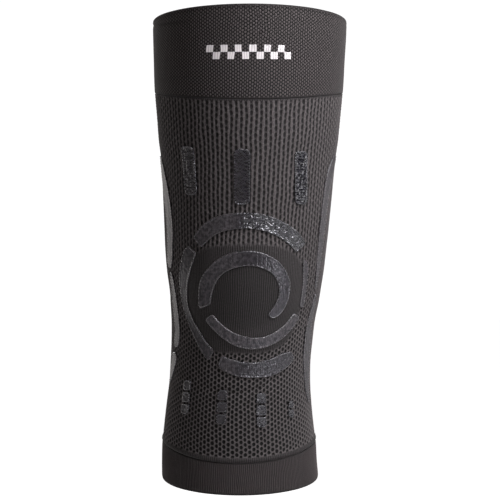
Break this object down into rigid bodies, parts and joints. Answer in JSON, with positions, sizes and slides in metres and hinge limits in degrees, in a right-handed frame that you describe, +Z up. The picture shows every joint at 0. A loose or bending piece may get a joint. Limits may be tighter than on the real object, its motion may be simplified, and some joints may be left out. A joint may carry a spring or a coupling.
{
  "type": "knee sleeve",
  "caption": "Knitted compression sleeve for the knee: open tube with a thigh band, mesh body, ribbed calf cuff and bonded grip prints round the kneecap and down the sides.",
  "frame": {"origin": "on the leg's axis at the height of the kneecap's centre, where the sleeve sits on a leg", "axes": "+Z up the leg towards the thigh, -Y to the front (the kneecap side), +X to the right as seen from the front"},
  "size_m": [0.1354, 0.1424, 0.3299],
  "materials": {
    "band_knit": "fine piqué knit of matt charcoal nylon and elastane yarn, double thickness",
    "mesh_knit": "open mesh knit of matt charcoal nylon and elastane yarn, plain and fine-ribbed over the kneecap",
    "cuff_knit": "fine vertical rib knit, matt charcoal",
    "silicone_print": "semi-gloss dark silicone printed on the knit, which shows through it"
  },
  "bodies": {
    "root": {"thigh_band": "band_knit", "knit_body": "mesh_knit", "calf_cuff": "cuff_knit", "print_thigh_bar_left": "silicone_print", "print_thigh_bar_centre": "silicone_print", "print_thigh_bar_right": "silicone_print", "print_ring_top": "silicone_print", "print_ring_left": "silicone_print", "print_ring_right": "silicone_print", "print_ring_bottom": "silicone_print", "print_kneecap_upper": "silicone_print", "print_kneecap_lower": "silicone_print", "print_shin_dash_1": "silicone_print", "print_shin_dash_2": "silicone_print", "print_shin_dash_3": "silicone_print", "print_shin_dash_4": "silicone_print", "print_shin_dash_5": "silicone_print", "print_shin_dash_6": "silicone_print", "print_shin_dash_7": "silicone_print", "print_shin_dash_8": "silicone_print", "print_shin_dash_9": "silicone_print", "print_shin_dash_10": "silicone_print", "print_shin_dash_11": "silicone_print", "print_side_left_upper": "silicone_print", "print_side_left_middle": "silicone_print", "print_side_left_lower": "silicone_print", "print_side_right_upper": "silicone_print", "print_side_right_lower": "silicone_print"}
  },
  "joints": []
}
